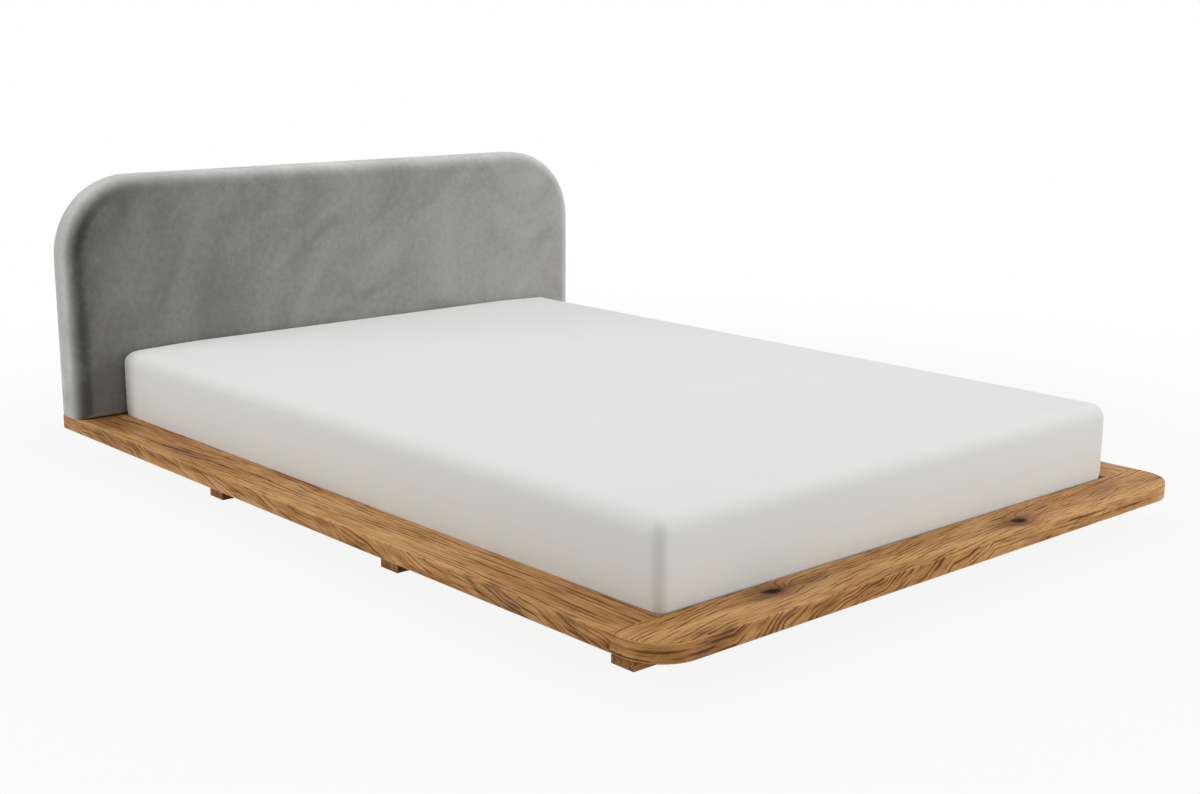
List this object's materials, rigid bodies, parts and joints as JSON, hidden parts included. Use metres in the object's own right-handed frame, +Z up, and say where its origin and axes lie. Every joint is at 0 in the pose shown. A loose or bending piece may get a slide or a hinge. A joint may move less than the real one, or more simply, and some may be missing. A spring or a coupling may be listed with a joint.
{
  "type": "floating platform bed",
  "caption": "Low platform bed: a flat oak board frame on set-back cross beams, slatted base, recessed mattress and an upholstered round-cornered headboard.",
  "frame": {"origin": "on the floor, under the middle of the bed's outline", "axes": "+Y along the bed to the head, +Z up, +X to the right as seen from the foot"},
  "size_m": [1.65, 2.247, 0.72],
  "materials": {
    "oak": "satin",
    "softwood": "matte",
    "plywood": "matte",
    "beech": "matte",
    "zinc_plated_steel": "satin",
    "felt": "matte",
    "foam": "matte",
    "mattress_fabric": "matte",
    "grey_velvet": "matte",
    "back_cloth": "matte"
  },
  "bodies": {
    "bed_frame": {"beam_screws": "zinc_plated_steel", "centre_spine": "oak", "corner_plates": "zinc_plated_steel", "cross_beam_foot": "oak", "cross_beam_head": "oak", "cross_beam_middle": "oak", "felt_pads": "felt", "foot_rail": "oak", "head_rail": "oak", "headboard_back_cloth": "back_cloth", "headboard_back_panel": "plywood", "headboard_bolts": "zinc_plated_steel", "headboard_bottom_batten": "softwood", "headboard_centre_post": "softwood", "headboard_cover": "grey_velvet", "headboard_foam": "foam", "headboard_front_panel": "plywood", "headboard_inserts": "zinc_plated_steel", "headboard_left_corner_block": "softwood", "headboard_left_post": "softwood", "headboard_right_corner_block": "softwood", "headboard_right_post": "softwood", "headboard_top_batten": "softwood", "joint_dowels": "beech", "ledger_screws": "zinc_plated_steel", "left_ledger_foot": "softwood", "left_ledger_head": "softwood", "left_ledger_middle": "softwood", "left_side_rail": "oak", "plate_screws": "zinc_plated_steel", "right_ledger_foot": "softwood", "right_ledger_head": "softwood", "right_ledger_middle": "softwood", "right_side_rail": "oak", "slat_01": "softwood", "slat_02": "softwood", "slat_03": "softwood", "slat_04": "softwood", "slat_05": "softwood", "slat_06": "softwood", "slat_07": "softwood", "slat_08": "softwood", "slat_09": "softwood", "slat_10": "softwood", "slat_11": "softwood", "slat_12": "softwood", "slat_13": "softwood", "slat_14": "softwood", "slat_15": "softwood", "slat_16": "softwood", "slat_screws": "zinc_plated_steel", "spine_screws": "zinc_plated_steel"},
    "mattress": {"mattress_core": "foam", "mattress_cover": "mattress_fabric"}
  },
  "joints": [
    {"name": "mattress_lift", "type": "slide", "parent": "bed_frame", "child": "mattress", "axis": [0, 0, 1], "range_m": [0, 0.65]}
  ]
}
